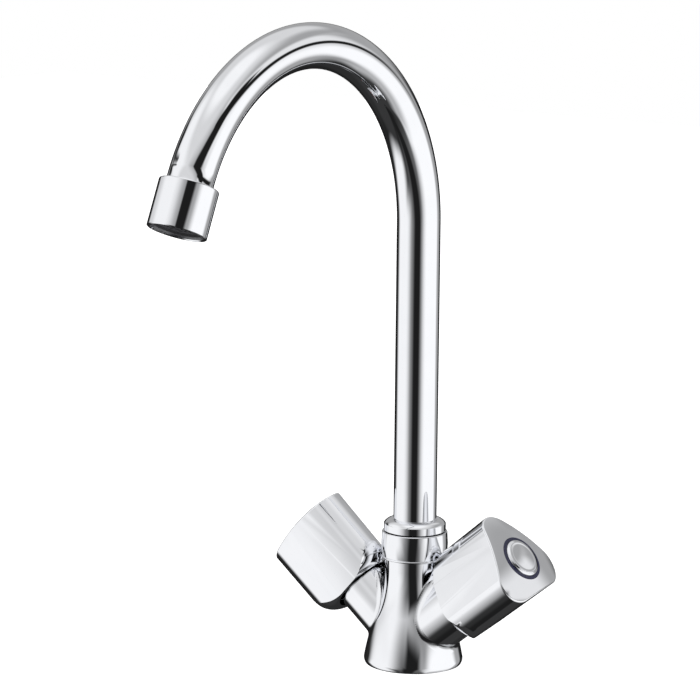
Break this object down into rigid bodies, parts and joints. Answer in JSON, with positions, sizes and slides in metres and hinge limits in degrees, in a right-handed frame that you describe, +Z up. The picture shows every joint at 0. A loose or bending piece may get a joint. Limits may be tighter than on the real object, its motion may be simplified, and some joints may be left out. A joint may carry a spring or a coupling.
{
  "type": "two handle kitchen faucet",
  "caption": "Deck-mounted kitchen mixer tap with a swivelling high-arc spout, two angled three-lobed handles and an aerator nozzle.",
  "frame": {"origin": "centre of the foot's underside, on the deck", "axes": "+Z up along the column and the spout's swivel axis, -Y the way the spout points at rest, +X the cold side and -X the hot side"},
  "size_m": [0.1401, 0.2085, 0.3022],
  "materials": {
    "chrome_plate": "mirror-polished chrome plate",
    "brass": "turned brass, bare",
    "rubber": "matt black rubber",
    "nylon": "natural nylon",
    "ceramic": "lapped ceramic",
    "steel": "bright steel",
    "aerator_plastic": "dark grey moulded plastic",
    "index_blue": "dark blue moulded plastic",
    "index_red": "red moulded plastic"
  },
  "bodies": {
    "faucet_base": {"faucet_body": "chrome_plate", "base_gasket": "rubber", "swivel_nut": "chrome_plate", "slip_washer": "nylon", "cold_seat_seal": "rubber", "cold_fixed_disc": "ceramic", "cold_valve_body": "brass", "cold_valve_gasket": "nylon", "hot_seat_seal": "rubber", "hot_fixed_disc": "ceramic", "hot_valve_body": "brass", "hot_valve_gasket": "nylon"},
    "spout": {"spout_spigot": "brass", "spigot_oring_lower": "rubber", "spigot_oring_upper": "rubber", "spout_tube": "chrome_plate", "spout_collar": "chrome_plate", "nozzle_housing": "chrome_plate", "aerator_washer": "rubber", "aerator_case": "aerator_plastic", "aerator_grid": "aerator_plastic"},
    "cold_control": {"cold_moving_disc": "ceramic", "cold_spindle": "brass", "cold_spindle_oring": "rubber", "cold_spindle_clip": "steel", "cold_handle_screw": "steel", "cold_handle": "chrome_plate", "cold_index_ring": "index_blue", "cold_cap": "chrome_plate"},
    "hot_control": {"hot_moving_disc": "ceramic", "hot_spindle": "brass", "hot_spindle_oring": "rubber", "hot_spindle_clip": "steel", "hot_handle_screw": "steel", "hot_handle": "chrome_plate", "hot_index_ring": "index_red", "hot_cap": "chrome_plate"}
  },
  "joints": [
    {"name": "spout_swivel", "type": "hinge", "parent": "faucet_base", "child": "spout", "pos_m": [0, 0, 0.05], "axis": [0, 0, 1], "continuous": true},
    {"name": "cold_valve", "type": "hinge", "parent": "faucet_base", "child": "cold_control", "pos_m": [0, 0, 0.0101], "axis": [0.7749, 0, 0.632], "range_deg": [0, 90]},
    {"name": "hot_valve", "type": "hinge", "parent": "faucet_base", "child": "hot_control", "pos_m": [0, 0, 0.0101], "axis": [-0.7749, 0, 0.632], "range_deg": [0, 90]}
  ]
}
